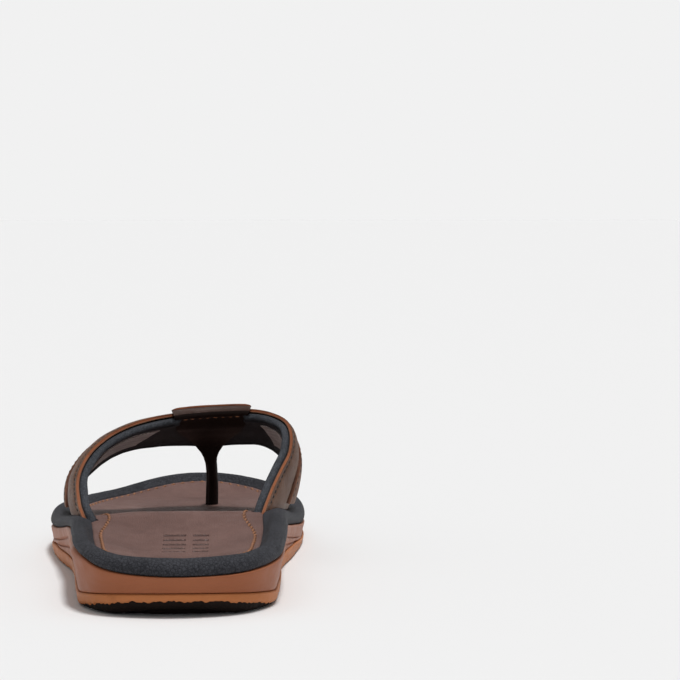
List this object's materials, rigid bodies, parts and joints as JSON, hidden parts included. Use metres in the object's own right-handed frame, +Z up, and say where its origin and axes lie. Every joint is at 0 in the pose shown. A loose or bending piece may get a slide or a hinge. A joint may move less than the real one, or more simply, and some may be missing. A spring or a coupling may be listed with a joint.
{
  "type": "flip flop",
  "caption": "Left leather toe-post sandal: padded band folded into a rolled toe post, contoured footbed inside a cushioned rim, and a rubber sole that flexes at the ball.",
  "frame": {"origin": "centre of the underside of the bounding box, on the ground", "axes": "+Z up, +Y from heel to toe, +X towards the big toe (medial) side of a left foot"},
  "size_m": [0.1058, 0.2876, 0.0614],
  "materials": {
    "outsole_rubber": "matte tan-brown rubber with a lugged edge",
    "midsole_foam": "smooth caramel-brown moulded rubber",
    "insole_board": "fibre board",
    "cushion_foam": "open-cell foam",
    "rim_microfibre": "grained charcoal microfibre",
    "footbed_leather": "dark-brown full-grain leather, satin",
    "tan_thread": "waxed tan thread",
    "dark_thread": "waxed dark-brown thread",
    "shank_steel": "spring steel",
    "tab_webbing": "woven nylon webbing",
    "band_leather": "brown leather with tan raw edges",
    "saddle_leather": "near-black brown leather",
    "woven_label": "woven label"
  },
  "bodies": {
    "heel_half": {"outsole_heel": "outsole_rubber", "midsole_heel": "midsole_foam", "insole_board_heel": "insole_board", "footbed_foam_heel": "cushion_foam", "rim_core_heel": "cushion_foam", "rim_binding_heel": "rim_microfibre", "footbed_cover_heel": "footbed_leather", "cover_seam_heel": "tan_thread", "heel_pad": "cushion_foam", "shank": "shank_steel", "strap_tab_lateral": "tab_webbing", "strap_tab_medial": "tab_webbing", "band_lining": "rim_microfibre", "band_foam": "cushion_foam", "band_shell": "band_leather", "band_strip_lateral": "band_leather", "band_strip_medial": "band_leather", "thread_rear_lateral": "dark_thread", "thread_rear_medial": "dark_thread", "thread_strip_lateral": "tan_thread", "thread_strip_medial": "tan_thread", "label_lateral": "woven_label", "label_medial": "woven_label", "saddle_wrap": "saddle_leather", "saddle_overlay": "saddle_leather", "saddle_thread": "dark_thread", "toe_post": "saddle_leather", "post_core": "tab_webbing"},
    "toe_half": {"outsole_toe": "outsole_rubber", "midsole_toe": "midsole_foam", "insole_board_toe": "insole_board", "footbed_foam_toe": "cushion_foam", "rim_core_toe": "cushion_foam", "rim_binding_toe": "rim_microfibre", "footbed_cover_toe": "footbed_leather", "cover_seam_toe": "tan_thread", "post_anchor": "shank_steel"}
  },
  "joints": [
    {"name": "sole_flex", "type": "hinge", "parent": "heel_half", "child": "toe_half", "pos_m": [0, 0.056, 0.0185], "axis": [1, 0, 0], "range_deg": [0, 32], "stiffness_Nm_per_rad": 1.5, "deforming": ["toe_post", "post_core"]}
  ]
}
